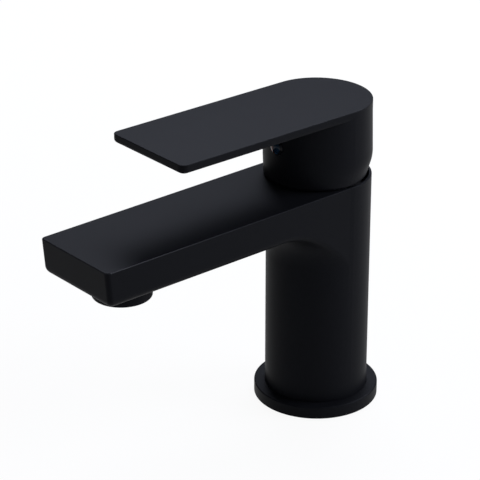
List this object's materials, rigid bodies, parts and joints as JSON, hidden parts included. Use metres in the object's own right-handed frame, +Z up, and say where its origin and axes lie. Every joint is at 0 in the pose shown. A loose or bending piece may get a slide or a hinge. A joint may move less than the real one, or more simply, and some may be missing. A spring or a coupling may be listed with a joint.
{
  "type": "bathroom mixer faucet",
  "caption": "Deck-mounted single-lever basin mixer with a flat bar spout, a flat plate lever on a round cap, and a ceramic disc cartridge, in satin black.",
  "frame": {"origin": "centre of the base on the basin deck, on the body's axis", "axes": "+Z up along the body's axis; the spout and the lever point along -Y; the cold side is +X"},
  "size_m": [0.0546, 0.1572, 0.1411],
  "materials": {
    "black_coating": "satin black powder coating",
    "black_rubber": "moulded rubber",
    "brass": "machined",
    "blackened_brass": "blackened",
    "steel": "bright",
    "white_plastic": "moulded",
    "grey_plastic": "moulded",
    "ceramic": "lapped",
    "black_plastic": "moulded",
    "plug_plastic": "gloss",
    "hot_red": "gloss",
    "cold_blue": "gloss"
  },
  "bodies": {
    "body": {"body_casting": "black_coating", "base_flange": "black_coating", "base_gasket": "black_rubber", "cartridge_housing": "black_plastic", "housing_seal": "black_rubber", "cartridge_base": "grey_plastic", "port_seals": "black_rubber", "fixed_ceramic_disc": "ceramic", "cartridge_nut": "blackened_brass", "friction_washer": "white_plastic", "limit_ring": "black_plastic", "aerator_housing": "black_coating", "aerator_insert": "grey_plastic", "aerator_screen": "steel", "aerator_seal": "black_rubber"},
    "swivel": {"stem_guide": "grey_plastic", "guide_seal": "black_rubber", "pivot_pin": "steel"},
    "lever": {"lever_handle": "black_coating", "lever_stem": "brass", "grub_screw": "steel", "index_plug": "plug_plastic", "hot_mark": "hot_red", "cold_mark": "cold_blue"},
    "disc": {"disc_carrier": "grey_plastic", "moving_ceramic_disc": "ceramic"}
  },
  "joints": [
    {"name": "lever_swing", "type": "hinge", "parent": "body", "child": "swivel", "pos_m": [0, 0, 0.1156], "axis": [0, 0, 1], "range_deg": [-50, 50]},
    {"name": "lever_lift", "type": "hinge", "parent": "swivel", "child": "lever", "pos_m": [0, 0, 0.1156], "axis": [-1, 0, 0], "range_deg": [0, 22]},
    {"name": "disc_slide", "type": "slide", "parent": "swivel", "child": "disc", "axis": [0, -1, 0], "range_m": [0, 0.0038]}
  ],
  "couplings": [
    {"joint": "disc_slide", "follows": "lever_lift", "m_per_rad": 0.009756}
  ]
}
